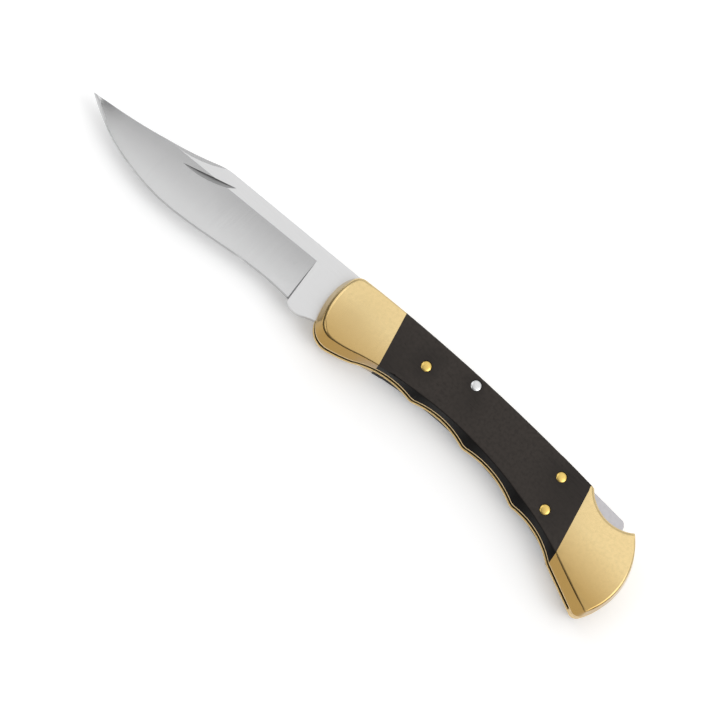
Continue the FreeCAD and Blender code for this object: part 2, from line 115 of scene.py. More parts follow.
# Borders of the covers, along X, and their widths as shares of the front's
FRONT_BORDER_END = 4.0 * MM
BUTT_BORDER_START = CAD_HIGH.x - 12.0 * MM
BORDER_RUN = 8.0 * MM
SIDE_SHARE = 0.4
BUTT_SHARE = 0.55
CORNER_TURN = math.radians(12)  # least turn of a sharp corner on the rim
END_TURN = math.radians(123)    # turn to the joint at a rim's end that is no corner
CORNER_WIDTH = 0.08 * MM        # of the rounding at a sharp corner
CORNER_SPREAD = 0.25            # growth of that width for each unit of distance from the corner
CORNER_ROOM = 3.0 * MM          # beside a sharp corner, where the sides stay as they are
SEED = 0.01 * MM                # width of the first rounding, before it is widened
NO_CORNER = 1.0                 # distance that stands for no sharp corner at all
SIDE_ROOM = 1.3                 # room for the rounding on the sides, as a share of its width
SIDE_NORMAL_Z = 0.95            # most of the leaning sides
ROLL_SEGMENTS = 5
CUSP_SEGMENTS = 4
EASE_SEGMENTS = 2

# Points between the finger grooves: their bend, how much they look to the belly, and their least height
CUSP_LEAST = math.radians(10)
CUSP_MOST = math.radians(60)
CUSP_LOOK = 0.5
CUSP_HEIGHT = 0.5 * MM

# Crown of the covers: the line along their middle is an arc in plan
CROWN_MID_Y = 8.0 * MM
CROWN_MID_X = 55.0 * MM
CROWN_MID_BEND = 1.98           # fall of that line, per metre squared of X
CROWN_GRID_X = 6.0 * MM
CROWN_GRID_Y = 2.0 * MM

# Peened domes of the rivets and of the lock bar's pin
DOME_RINGS = 4
DOME_EDGE = 0.82                # share of a pin's radius at which its rim turns down
DOME_FALL = 0.16 * MM

# Metals: stretch of the grinding lines, roughness, depth of the lines in metres and spread of the tone
Finish = namedtuple("Finish", "stretch rough depth spread")
POLISHED = Finish((60, 3200, 3200), 0.2, 8e-8, 0.008)
SATIN_BRASS = Finish((50, 1800, 1800), 0.38, 2e-6, 0.05)
SLOT_BRASS = Finish((50, 1800, 1800), 0.55, 2e-6, 0.05)
SATIN_BAR = Finish((60, 2400, 2400), 0.32, 3e-6, 0.05)
PIN_END = Finish((300, 300, 300), 0.22, 6e-7, 0.05)
FLAT_GRIND = Finish((60, 2600, 2600), 0.36, 5e-7, 0.015)
HOLLOW_GRIND = Finish((1800, 60, 60), 0.2, 5e-7, 0.012)
HONED_GRIND = Finish((1200, 1200, 60), 0.5, 1e-6, 0.05)
NICK_GRIND = Finish((60, 1600, 1600), 0.42, 6e-6, 0.05)
FLATS, HOLLOW, HONED, NICK = range(4)       # the blade's materials, in their order
SLOT_PAINTED_SHADE = 0.12               # shares of a colour: painted shade on the liners' faces in the slot, a painted glint on the honed edge, and painted shade in the nick and at the plunge
HONED_PAINTED_GLINT = 1.15
NICK_PAINTED_SHADE = 0.55
WORN_SHINE = 1.12
LINE_STRENGTH = 0.5
SMUDGE_ROUGH = 1.12             # growth of the roughness on smudges
SCRATCH_ROUGH = 0.008           # added to it on scratches
SCRATCH_BEND = (0.02, 0.02, 0.02)
FLANK_SHADE_REACH = (-0.85, -0.5)     # of the normals' Y, over which painted shade fades, from the belly's sides to the faces
BELLY_SHADE_REACH = (-9.0 * MM, 5.0 * MM)      # of Y, over which painted shade fades, from the darker belly to the unshaded spine

# Wood of the scales
GRAIN_STRETCH = (35, 900, 900)
PORE_STRETCH = (260, 4200, 4200)
PORE_SHADE = 0.75               # shares of the wood's colours
# painted shade: share of the wood's colour on the sides that look to the belly
PAINTED_FLANK_SHADE = 0.2
STREAK_SHINE = 1.3
PORE_STRENGTH = 0.15
PORE_DEPTH = 2e-5
WOOD_ROUGH = (0.42, 0.5)        # clean and smudged
WOOD_SPECULAR = 0.04

# Sockets of a Mix node for colours, which has others of the same names
MIX_FACTOR, MIX_FIRST, MIX_SECOND, MIX_RESULT = 0, 6, 7, 2

# Studio light: radiance of the sky on its dim and its bright side, and of the room on the belly's and the
# spine's side, with the parts of the unit direction between which each turns, and the room turns to sky
SKY_SIDE_TURN = math.radians(40)        # of the sky's bright side, from the spine towards the butt
SKY_SIDE = Vector((math.sin(SKY_SIDE_TURN), math.cos(SKY_SIDE_TURN), 0))
SKY_LOW = 0.26
SKY_HIGH = 1.3
SKY_TURN = (-0.3, 0.22)
SKY_RISE = (0.45, 0.86)
ROOM_BELLY = 0.12
ROOM_SPINE = 0.8
ROOM_TURN = (0.1, 0.8)
BOX_TURN = math.radians(79)     # of the two soft boxes, from the spine's side towards the tip and the butt
BOX_LEAN = math.radians(40)
BOX_SIZE = (1.0, 1.8)
BOX_DISTANCE = 2.0
TIP_BOX_SHARE = 0.8             # of the mean power
CARD_TURN = math.radians(135)   # of the small card, from the spine's side past the tip towards the belly
CARD_LEAN = math.radians(38)
CARD_SIZE = (0.8, 0.8)
FLOOR_REACH = 3.0               # from the origin to the floor's sides
FLOOR_GLOW = 0.25               # what makes the floor white to the camera and in mirrors

# Camera: the place on the knife's upper face that it looks at
AIM_X = 10.96 * MM
AIM_Y = -6.83 * MM
CLIP_START = 0.01


class KnifeShape(bpy.types.PropertyGroup):
    """Small forms that finishing leaves on the pieces"""

    border: FloatProperty(
        name="Front Border", description="Width of the rounding round the front of the bolsters",
        default=1.1 * MM, min=0, unit="LENGTH", precision=5)
    crown: FloatProperty(
        name="Crown Radius", description="Radius of the buffed crown across bolsters and scales",
        default=164 * MM, min=0.02, unit="LENGTH")
    dome: FloatProperty(
        name="Rivet Dome", description="Height of the peened dome of rivets and of the lock bar's pin",
        default=0.14 * MM, min=0, unit="LENGTH", precision=5)
    bar_ease: FloatProperty(
        name="Lock Bar Ease", description="Width of the rounding on the lock bar's long edges",
        default=0.25 * MM, min=0, unit="LENGTH", precision=5)
    liner_ease: FloatProperty(
        name="Liner Ease", description="Width of the rounding on the liners' edges",
        default=0.25 * MM, min=0, unit="LENGTH", precision=5)
    cusp: FloatProperty(
        name="Cusp Rounding", description="Width of the rounding on the points between the finger grooves",
        default=1.1 * MM, min=0, unit="LENGTH", precision=5)


class KnifeColours(bpy.types.PropertyGroup):
    """Colours of the knife's materials"""

    brass: FloatVectorProperty(
        name="Brass", description="Polished brass of the bolsters",
        default=(0.60, 0.46, 0.23), min=0, max=1, subtype="COLOR")
    # painted shade: a darker, warmer brass towards the belly, standing in for the lower light there
    brass_belly_shade: FloatVectorProperty(
        name="Deep Brass", description="Brass where hands have toned it, towards the belly",
        default=(0.51, 0.34, 0.125), min=0, max=1, subtype="COLOR")
    # painted shade: a darker brass on the sides that look to the belly, standing in for the shaded floor
    # they mirror
    brass_flank_shade: FloatVectorProperty(
        name="Flank Brass", description="Brass that fingers have toned on the belly's sides",
        default=(0.405, 0.25, 0.075), min=0, max=1, subtype="COLOR")
    rivet: FloatVectorProperty(
        name="Rivet Brass", description="Yellow brass of the rivets",
        default=(0.64, 0.455, 0.135), min=0, max=1, subtype="COLOR")
    liner: FloatVectorProperty(
        name="Liner Brass", description="Satin brass of liners and spacer",
        default=(0.76, 0.55, 0.24), min=0, max=1, subtype="COLOR")
    wood: FloatVectorProperty(
        name="Wood", description="Dark wood of the scales",
        default=(0.033, 0.029, 0.0265), min=0, max=1, subtype="COLOR")
    wood_streak: FloatVectorProperty(
        name="Wood Streak", description="Lighter streaks in the grain of the scales",
        default=(0.038, 0.0325, 0.029), min=0, max=1, subtype="COLOR")
    steel: FloatVectorProperty(
        name="Steel", description="Satin steel of the blade",
        default=(0.59, 0.59, 0.592), min=0, max=1, subtype="COLOR")
    bar: FloatVectorProperty(
        name="Lock Bar Steel", description="Satin steel of the lock bar",
        default=(0.40, 0.39, 0.405), min=0, max=1, subtype="COLOR")


class KnifeStage(bpy.types.PropertyGroup):
    """Camera, light and floor around the knife"""

    tilt: FloatProperty(
        name="Camera Tilt", description="Angle of the camera from straight above, towards the belly",
        default=math.radians(12), subtype="ANGLE")
    turn: FloatProperty(
        name="Camera Turn", description="Turn of the knife's length from level in the picture",
        default=math.radians(45), subtype="ANGLE")
    distance: FloatProperty(
        name="Camera Distance", description="Camera to the knife's upper face",
        default=2.4, min=0.1, unit="LENGTH")
    width: FloatProperty(
        name="Picture Width", description="Width of the picture at the knife's upper face",
        default=216.0 * MM, min=0.01, unit="LENGTH")
    softbox: FloatProperty(
        name="Soft Boxes", description="Mean power in watts of the two soft boxes, by tip and butt",
        default=8.5, min=0)
    card: FloatProperty(
        name="Card", description="Power in watts of the small light, between the tip and the belly",
        default=2.5, min=0)
    floor: FloatVectorProperty(
        name="Floor", description="Colour of the floor",
        default=(0.9, 0.9, 0.9), min=0, max=1, subtype="COLOR")


def feed(tree, node, values):
    """Set a node's inputs, by name or number, to values, or link them to output sockets."""
    for key, value in values.items():
        if isinstance(value, bpy.types.NodeSocket):
            tree.links.new(value, node.inputs[key])
        else:
            node.inputs[key].default_value = value


def node_of(tree, kind, values=None, **settings):
    """New node with its settings and its inputs."""
    node = tree.nodes.new(kind)
    for name, value in settings.items():
        setattr(node, name, value)
    feed(tree, node, values or {})
    return node


def new_group(name, inputs, outputs):
    """Empty shader node group, the sockets that bring its inputs and those that take its outputs."""
    tree = bpy.data.node_groups.new(name, "ShaderNodeTree")
    for socket, kind, default in inputs:
        made = tree.interface.new_socket(socket, in_out="INPUT", socket_type=kind)
        if default is not None:
            made.default_value = default
    for socket, kind in outputs:
        tree.interface.new_socket(socket, in_out="OUTPUT", socket_type=kind)
    start = node_of(tree, "NodeGroupInput")
    end = node_of(tree, "NodeGroupOutput")
    return tree, start.outputs, end.inputs


def remapped(tree, value, low, high, to_low=0.0, to_high=1.0):
    """Socket of a value mapped from one range to another, held at its ends."""
    ranged = node_of(tree, "ShaderNodeMapRange", {
        "Value": value, "From Min": low, "From Max": high, "To Min": to_low, "To Max": to_high})
    return ranged.outputs["Result"]


def mixed(tree, factor, first, second):
    """Socket of two colours mixed."""
    mix = node_of(tree, "ShaderNodeMix", {MIX_FACTOR: factor, MIX_FIRST: first, MIX_SECOND: second},
                  data_type="RGBA")
    return mix.outputs[MIX_RESULT]


def calculated(tree, operation, *values):
    """Socket of numbers put through a Math node."""
    return node_of(tree, "ShaderNodeMath", dict(enumerate(values)), operation=operation).outputs["Value"]


def vector_calculated(tree, operation, *values):
    """Vector Math node with its inputs."""
    return node_of(tree, "ShaderNodeVectorMath", dict(enumerate(values)), operation=operation)


def grinding_lines():
    """Group: fine parallel lines that a belt leaves, long where the stretch is small."""
    tree = bpy.data.node_groups.get("Grinding Lines")
    if tree:
        return tree
    tree, given, out = new_group(
        "Grinding Lines",
        [("Vector", "NodeSocketVector", None), ("Stretch", "NodeSocketVector", (40, 2600, 2600))],
        [("Lines", "NodeSocketFloat")])
    scaled = vector_calculated(tree, "MULTIPLY", given["Vector"], given["Stretch"])
    noise = node_of(tree, "ShaderNodeTexNoise", {
        "Vector": scaled.outputs["Vector"], "Scale": 1.0, "Detail": 3.0, "Roughness": 0.6})
    tree.links.new(remapped(tree, noise.outputs["Fac"], 0.3, 0.7), out["Lines"])
    return tree


def handling_marks():
    """Group: soft smudges and sparse fine scratches that use leaves."""
    tree = bpy.data.node_groups.get("Handling Marks")
    if tree:
        return tree
    tree, given, out = new_group(
        "Handling Marks",
        [("Vector", "NodeSocketVector", None), ("Smudge Scale", "NodeSocketFloat", 130.0)],
        [("Smudges", "NodeSocketFloat"), ("Scratches", "NodeSocketFloat")])
    smudge = node_of(tree, "ShaderNodeTexNoise", {
        "Vector": given["Vector"], "Scale": given["Smudge Scale"], "Detail": 4.0, "Roughness": 0.55})
    tree.links.new(remapped(tree, smudge.outputs["Fac"], 0.35, 0.7), out["Smudges"])
    bent = node_of(tree, "ShaderNodeTexNoise", {"Vector": given["Vector"], "Scale": 60.0, "Detail": 1.0})
    slid = vector_calculated(tree, "MULTIPLY_ADD", bent.outputs["Color"], SCRATCH_BEND, given["Vector"])
    cells = node_of(tree, "ShaderNodeTexVoronoi", {"Vector": slid.outputs["Vector"], "Scale": 150.0},
                    feature="DISTANCE_TO_EDGE")
    tree.links.new(remapped(tree, cells.outputs["Distance"], 0.0, 0.012, 1.0, 0.0), out["Scratches"])
    return tree


def worn_tone():
    """Group: a colour that turns to another where an edge is worn, broken up by noise."""
    tree = bpy.data.node_groups.get("Worn Tone")
    if tree:
        return tree
    tree, given, out = new_group(
        "Worn Tone",
        [("Vector", "NodeSocketVector", None), ("Worn", "NodeSocketFloat", 0.0),
         ("Colour", "NodeSocketColor", None), ("Worn Colour", "NodeSocketColor", None)],
        [("Colour", "NodeSocketColor")])
    noise = node_of(tree, "ShaderNodeTexNoise", {"Vector": given["Vector"], "Scale": 900.0, "Detail": 3.0})
    broken = remapped(tree, noise.outputs["Fac"], 0.3, 0.6, 0.35, 1.0)
    ragged = calculated(tree, "MULTIPLY", given["Worn"], broken)
    tree.links.new(mixed(tree, ragged, given["Colour"], given["Worn Colour"]), out["Colour"])
    return tree


def flank_shade_tone():
    """Group: painted shade, a colour that turns to another, darker one on the sides that look to the belly.
    """
    tree = bpy.data.node_groups.get("Flank Tone")
    if tree:
        return tree
    tree, given, out = new_group(
        "Flank Tone",
        [("Normal", "NodeSocketVector", None), ("Colour", "NodeSocketColor", None),
         ("Flank Colour", "NodeSocketColor", None)],
        [("Colour", "NodeSocketColor")])
    across = node_of(tree, "ShaderNodeSeparateXYZ", {"Vector": given["Normal"]}).outputs["Y"]
    tree.links.new(mixed(tree, remapped(tree, across, *FLANK_SHADE_REACH), given["Flank Colour"], given["Colour"]),
                   out["Colour"])
    return tree


def flank_shaded(tree, colour, flank_shade):
    """Socket of a colour that turns to another, darker one on the belly's sides, as painted shade."""
    normal = node_of(tree, "ShaderNodeTexCoord").outputs["Normal"]
    toned = node_of(tree, "ShaderNodeGroup", node_tree=flank_shade_tone())
    feed(tree, toned, {"Normal": normal, "Colour": colour, "Flank Colour": shaded(flank_shade, 1)})
    return toned.outputs["Colour"]


def worn_edges(tree, place, colour, worn_colour):
    """Socket of a colour that turns to another on what is marked as worn."""
    worn = node_of(tree, "ShaderNodeAttribute", attribute_name="worn").outputs["Fac"]
    toned = node_of(tree, "ShaderNodeGroup", node_tree=worn_tone())
    feed(tree, toned, {"Vector": place, "Worn": worn, "Colour": colour, "Worn Colour": worn_colour})
    return toned.outputs["Colour"]


def new_material(name):
    """Empty material, its tree, its Principled shader and the socket of its Object coordinates."""
    material = bpy.data.materials.new(name)
    material.use_nodes = True
    tree = material.node_tree
    shader = tree.nodes["Principled BSDF"]
    place = node_of(tree, "ShaderNodeTexCoord").outputs["Object"]
    return material, tree, shader, place


def shaded(colour, share):
    """The colour made darker or lighter by a share, with full alpha."""
    return tuple(min(1.0, part * share) for part in colour) + (1.0,)


def metal(name, colour, finish):
    """Ground and buffed metal: lines along the grind, smudges and a few scratches."""
    material, tree, shader, place = new_material(name)
    lines = node_of(tree, "ShaderNodeGroup", node_tree=grinding_lines())
    feed(tree, lines, {"Vector": place, "Stretch": finish.stretch})
    height = lines.outputs["Lines"]
    marks = node_of(tree, "ShaderNodeGroup", node_tree=handling_marks())
    feed(tree, marks, {"Vector": place})
    tone = mixed(tree, height, shaded(colour, 1 - finish.spread), shaded(colour, 1 + finish.spread))
    smudged = remapped(tree, marks.outputs["Smudges"], 0.0, 1.0, finish.rough, finish.rough * SMUDGE_ROUGH)
    bump = node_of(tree, "ShaderNodeBump", {
        "Height": height, "Strength": LINE_STRENGTH, "Distance": finish.depth})
    feed(tree, shader, {
        "Base Color": worn_edges(tree, place, tone, shaded(colour, WORN_SHINE)),
        "Metallic": 1.0,
        "Roughness": calculated(tree, "MULTIPLY_ADD", marks.outputs["Scratches"], SCRATCH_ROUGH, smudged),
        "Normal": bump.outputs["Normal"]})
    return material


def kept(name, make, *given):
    """The material of that name, made on its first use."""
    return bpy.data.materials.get(name) or make(name, *given)


def shade_painted_metal(name, colour, belly_shade, flank_shade, finish):
    """Buffed metal with painted shade: darker towards the belly, and darkest on the belly's sides."""
    material = metal(name, colour, finish)
    tree = material.node_tree
    place = node_of(tree, "ShaderNodeTexCoord").outputs["Object"]
    across = node_of(tree, "ShaderNodeSeparateXYZ", {"Vector": place}).outputs["Y"]
    base = tree.nodes["Principled BSDF"].inputs["Base Color"]
    unshaded_tone = base.links[0].from_socket
    # painted shade: the brass turns darker and warmer towards the belly, and darkest on the sides that look
    # to it
    toned = mixed(tree, remapped(tree, across, *BELLY_SHADE_REACH), shaded(belly_shade, 1), unshaded_tone)
    tree.links.new(flank_shaded(tree, toned, flank_shade), base)
    return material


def polished_brass(context):
    colours = context.scene.knife_colours
    return kept("polished_brass", shade_painted_metal, colours.brass, colours.brass_belly_shade, colours.brass_flank_shade,
                POLISHED)


def dark_wood(name, colour, streak):
    """Fine-pored dark wood, sealed and buffed: streaks and pores along the handle."""
    material, tree, shader, place = new_material(name)
    grain_at = node_of(tree, "ShaderNodeMapping", {"Vector": place, "Scale": GRAIN_STRETCH})
    grain = node_of(tree, "ShaderNodeTexNoise", {
        "Vector": grain_at.outputs["Vector"], "Scale": 1.0, "Detail": 5.0, "Roughness": 0.65})
    pores_at = node_of(tree, "ShaderNodeMapping", {"Vector": place, "Scale": PORE_STRETCH})
    pores = node_of(tree, "ShaderNodeTexNoise", {
        "Vector": pores_at.outputs["Vector"], "Scale": 1.0, "Detail": 2.0})
    pore = remapped(tree, pores.outputs["Fac"], 0.3, 0.42)
    streaked = remapped(tree, grain.outputs["Fac"], 0.35, 0.75)
    tone = mixed(tree, streaked, shaded(colour, 1), shaded(streak, 1))
    pored = mixed(tree, pore, shaded(colour, PORE_SHADE), tone)
    worn = worn_edges(tree, place, pored, shaded(streak, STREAK_SHINE))
    marks = node_of(tree, "ShaderNodeGroup", node_tree=handling_marks())
    feed(tree, marks, {"Vector": place})
    bump = node_of(tree, "ShaderNodeBump", {
        "Height": pore, "Strength": PORE_STRENGTH, "Distance": PORE_DEPTH})
    feed(tree, shader, {
        # painted shade: the wood turns darker on the sides that look to the belly
        "Base Color": flank_shaded(tree, worn, shaded(colour, PAINTED_FLANK_SHADE)[:3]),
        "Roughness": remapped(tree, marks.outputs["Smudges"], 0.0, 1.0, *WOOD_ROUGH),
        "Specular IOR Level": WOOD_SPECULAR,
        "Normal": bump.outputs["Normal"]})
    return material


def read_node(node, merge=MERGE):
    """The CAD node's mesh with its triangles merged and its flat faces joined."""
    shape = bmesh.new()
    shape.from_mesh(frame["nodes"][node].data)
    bmesh.ops.remove_doubles(shape, verts=shape.verts, dist=merge)
    bmesh.ops.dissolve_limit(shape, angle_limit=FLAT_ANGLE, verts=shape.verts, edges=shape.edges,
                             delimit=set())
    shape.normal_update()
    return shape


def bevelled(shape, edges, width, segments):
    """Round the edges over, and give the new points."""
    made = bmesh.ops.bevel(
        shape, geom=edges, offset=width, offset_type="OFFSET", affect="EDGES", segments=segments,
        profile=0.5, material=-1, clamp_overlap=False, loop_slide=True)
    return made["verts"]


def eased(shape, edges, width):
    """Round the edges over and mark what is rounded as worn."""
    worn = shape.verts.layers.float.new("worn")
    for vert in bevelled(shape, edges, width, EASE_SEGMENTS):
        vert[worn] = 1.0
    shape.normal_update()


def smoothed(shape, limit=SHARP_ANGLE):
    """Smooth shading that breaks at edges sharper than the limit."""
    for face in shape.faces:
        face.smooth = True
    for edge in shape.edges:
        edge.smooth = edge.is_manifold and edge.calc_face_angle(0.0) < limit


def stand_for(node, shape, *materials, rides=True):
    """Piece of the finished shape in the place of its CAD node, riding on that node's body if asked."""
    mesh = bpy.data.meshes.new(node + "_finish")
    shape.to_mesh(mesh)
    shape.free()
    for material in materials:
        mesh.materials.append(material)
    piece = bpy.data.objects.new(mesh.name, mesh)
    bpy.context.scene.collection.objects.link(piece)
    if rides:
        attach(piece, BODY_OF[node])
    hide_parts(node)
    return piece


def even_shading(piece):
    """The piece, shaded so that its large faces stay flat up to their eased edges."""
    even = piece.modifiers.new("Even Shading", "WEIGHTED_NORMAL")
    even.keep_sharp = True
    return piece


def dress_node(node, material):
    """The CAD node stays, with a better material."""
    materials = frame["nodes"][node].data.materials
    materials.clear()
    materials.append(material)


def looks_out(face):
    return abs(face.normal.z) > FACE_NORMAL_Z


def leans(face):
    return abs(face.normal.z) > UPRIGHT_NORMAL_Z


def is_outer(face):
    """Whether the face is the cover's outer face, away from the liner."""
    return looks_out(face) and abs(face.calc_center_median().z - MID_Z) > OUTER_REACH


def crown_drop(x, y, radius):
    """Depth of the crowned face below its highest line."""
    middle = CROWN_MID_Y - CROWN_MID_BEND * (x - CROWN_MID_X) ** 2
    return (y - middle) ** 2 / (2 * radius)


def cut_grid(shape, low, high):
    """Cut the outer faces along a grid, so that they can be crowned."""
    planes = []
    for axis, step in ((0, CROWN_GRID_X), (1, CROWN_GRID_Y)):
        count = int((high[axis] - low[axis]) / step)
        normal = Vector((axis == 0, axis == 1, 0))
        planes += [(normal, low + normal * step * (index + 0.5)) for index in range(count + 1)]
    for normal, point in planes:
        faces = [face for face in shape.faces if is_outer(face)]
        edges = {edge for face in faces for edge in face.edges}
        verts = {vert for face in faces for vert in face.verts}
        bmesh.ops.bisect_plane(shape, geom=list(verts) + list(edges) + faces, dist=MERGE,
                               plane_co=point, plane_no=normal)
    shape.normal_update()


def crowned(shape, radius):
    """Buff a slight crown across the outer face."""
    for vert in shape.verts:
        height = (abs(vert.co.z - MID_Z) - (COVER_FOOT - MID_Z)) / COVER_T
        fall = max(0.0, height) * crown_drop(vert.co.x, vert.co.y, radius)
        vert.co.z -= math.copysign(fall, vert.co.z - MID_Z)
    shape.normal_update()


def at_bore(edge):
    """Whether the edge is on the rim of a bore."""
    middle = (edge.verts[0].co + edge.verts[1].co) / 2
    return any(low.x - BORE_ROOM < middle.x < high.x + BORE_ROOM
               and low.y - BORE_ROOM < middle.y < high.y + BORE_ROOM for low, high in PIN_BOXES)


def border_share(x):
    """Share of the front's border width that the rounding has at that length along the handle."""
    front = (FRONT_BORDER_END - x) / BORDER_RUN
    butt = (x - BUTT_BORDER_START) / BORDER_RUN * BUTT_SHARE
    return max(SIDE_SHARE, min(front, 1.0), min(butt, BUTT_SHARE))


def face_edges(shape):
    """Edges between the flat faces of a plate and its sides, but for those of bores."""
    return [edge for edge in shape.edges if edge.is_manifold and not at_bore(edge)
            and looks_out(edge.link_faces[0]) != looks_out(edge.link_faces[1])]


def rim_of(shape):
    """Edges between the outer face of a cover and its leaning sides."""
    return [edge for edge in shape.edges if len(edge.link_faces) == 2 and not at_bore(edge)
            and is_outer(edge.link_faces[0]) != is_outer(edge.link_faces[1])
            and all(is_outer(face) or leans(face) for face in edge.link_faces)]


def turn_of(vert, rim):
    """Turn of the rim at a point, or at its end the turn to the joint beyond a plain end's."""
    along = [edge for edge in vert.link_edges if edge in rim]
    joints = [edge for edge in vert.link_edges if edge not in rim
              and sum(is_outer(face) for face in edge.link_faces) == 1]
    first, second = [edge.other_vert(vert).co - vert.co for edge in (along + joints)[:2]]
    return first.angle(-second) - (END_TURN if len(along) == 1 else 0.0)


def corners_of(rim):
    """Places in plan at which the rim of a cover turns sharply."""
    edges = set(rim)
    points = {vert for edge in rim for vert in edge.verts}
    return [vert.co.xy for vert in points if turn_of(vert, edges) > CORNER_TURN]


def corner_distance(place, corners):
    """Distance in plan to the nearest sharp corner, or a long one where there is none."""
    return min([(place.xy - corner).length for corner in corners], default=NO_CORNER)


def border_width(place, corners, width):
    """Width of the rounding at a place on the rim, narrower towards sharp corners."""
    return min(width * border_share(place.x), CORNER_WIDTH + CORNER_SPREAD * corner_distance(place, corners))


def mean_normal(vert):
    """Normal of a point, with each of its faces counted by its area."""
    return sum((face.normal * face.calc_area() for face in vert.link_faces), Vector()).normalized()


def on_side(vert):
    """Whether the point lies inside a cover's leaning sides."""
    return (all(leans(face) and not looks_out(face) for face in vert.link_faces)
            and abs(mean_normal(vert).z) < SIDE_NORMAL_Z)


def lowered_sides(shape, corners, width):
    """Slide the points inside the leaning sides down their slope, clear of the rounding."""
    for vert in shape.verts:
        if not on_side(vert) or corner_distance(vert.co, corners) < CORNER_ROOM:
            continue
        out = vert.co.z - MID_Z
        height = (abs(out) - COVER_FOOT + MID_Z) / COVER_T
        drop = SIDE_ROOM * border_width(vert.co, corners, width) * height
        normal = mean_normal(vert)
        level = normal.xy / normal.xy.length_squared * abs(normal.z)
        vert.co += Vector((level.x, level.y, -math.copysign(1, out))) * drop
    shape.normal_update()


def rolled(shape, width):
    """Round the borders of a cover over, and mark what is rounded as worn."""
    worn = shape.verts.layers.float.new("worn")
    rim = rim_of(shape)
    corners = corners_of(rim)
    lowered_sides(shape, corners, width)
    places = list({vert.co.copy().freeze() for edge in rim for vert in edge.verts})
    finder = KDTree(len(places))
    for index, place in enumerate(places):
        finder.insert(place, index)
    finder.balance()
    for vert in bevelled(shape, rim, SEED, ROLL_SEGMENTS):
        place = finder.find(vert.co)[0]
        vert.co = place + (vert.co - place) * border_width(place, corners, width) / SEED
        vert[worn] = 1.0
    shape.normal_update()


def cusps_of(shape):
    """Edges at the points between the finger grooves, on the belly."""
    return [edge for edge in shape.edges if edge.is_manifold
            and CUSP_LEAST < edge.calc_face_angle(0.0) < CUSP_MOST and edge.is_convex
            and all(face.normal.y < -CUSP_LOOK for face in edge.link_faces)
            and abs(edge.verts[0].co.z - edge.verts[1].co.z) > CUSP_HEIGHT]


def rounded_cusps(shape, width):
    """Round the points between the finger grooves."""
    bevelled(shape, cusps_of(shape), width, CUSP_SEGMENTS)
    shape.normal_update()


def finished_cover(node, settings, material):
    """Bolster or scale with rounded borders, rounded points between finger grooves and a crowned face."""
    shape = read_node(node, COVER_MERGE)
    rounded_cusps(shape, settings.cusp)
    rolled(shape, settings.border)
    cut_grid(shape, *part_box(node))
    crowned(shape, settings.crown)
    smoothed(shape)
    return even_shading(stand_for(node, shape, material))


class KNIFE_OT_bolsters(bpy.types.Operator):
    """Finish the four brass bolsters"""
    bl_idname = "knife.bolsters"
    bl_label = "Bolsters"

    def execute(self, context):
        for side in SIDES:
            for end in ("front", "rear"):
                finished_cover(f"{end}_bolster_{side}", context.scene.knife_shape, polished_brass(context))
        return {"FINISHED"}


class KNIFE_OT_scales(bpy.types.Operator):
    """Finish the two wooden scales"""
    bl_idname = "knife.scales"
    bl_label = "Scales"

    def execute(self, context):
        colours = context.scene.knife_colours
        wood = kept("dark_wood", dark_wood, colours.wood, colours.wood_streak)
        for side in SIDES:
            finished_cover(f"scale_{side}", context.scene.knife_shape, wood)
        return {"FINISHED"}


def finished_liner(node, settings, edge_brass, slot_brass):
    """Liner with eased edges on the slot's side, with its points between the finger grooves rounded, and its
    flat faces darkened as painted shade for the slot.
    """
    shape = read_node(node)
    rounded_cusps(shape, settings.cusp)
    rim = [edge for edge in face_edges(shape) if abs(edge.verts[0].co.z - MID_Z) < SLOT_REACH]
    eased(shape, rim, settings.liner_ease)
    for face in shape.faces:
        face.material_index = int(looks_out(face))
    smoothed(shape)
    return even_shading(stand_for(node, shape, edge_brass, slot_brass))


class KNIFE_OT_liners(bpy.types.Operator):
    """Finish the two brass liners and dress the spacer between them"""
    bl_idname = "knife.liners"
    bl_label = "Liners and Spacer"

    def execute(self, context):
        colour = context.scene.knife_colours.liner
        brass = kept("satin_brass", metal, colour, SATIN_BRASS)
        # painted shade: the liner's brass darkened to a small share on its flat faces, where the slot is
        # dark
        slot_shade = kept("slot_brass", metal, shaded(colour, SLOT_PAINTED_SHADE)[:3], SLOT_BRASS)
        for side in SIDES:
            finished_liner(f"liner_{side}", context.scene.knife_shape, brass, slot_shade)
        for node in ("butt_spacer", "spacer_pin_spine", "spacer_pin_belly"):
            dress_node(node, brass)
        return {"FINISHED"}


def nick_faces(shape):
    """Faces of the nail nick: its wall leans to the belly, and its floor joins that wall."""
    wall = [face for face in shape.faces if face.normal.y < NICK_WALL_Y and face.normal.z > NICK_WALL_Z]
    found = set(wall)
    near = set(wall)
    while near:
        near = {other for face in near for edge in face.edges for other in edge.link_faces
                if other not in found and other.normal.y > NICK_FLOOR_Y}
        found |= near
    return found


def blade_finish(face):
    """Number of the material of a blade's face outside the nail nick. The plunge has the nick's, with its
    painted shade.
    """
    if max(abs(vert.co.z - MID_Z) for vert in face.verts) < HONED_REACH:
        return HONED
    if abs(face.normal.z) > FLAT_NORMAL_Z:
        return FLATS
    at_plunge = face.normal.x < PLUNGE_X and abs(face.normal.z) > PLUNGE_Z
    return NICK if at_plunge else HOLLOW


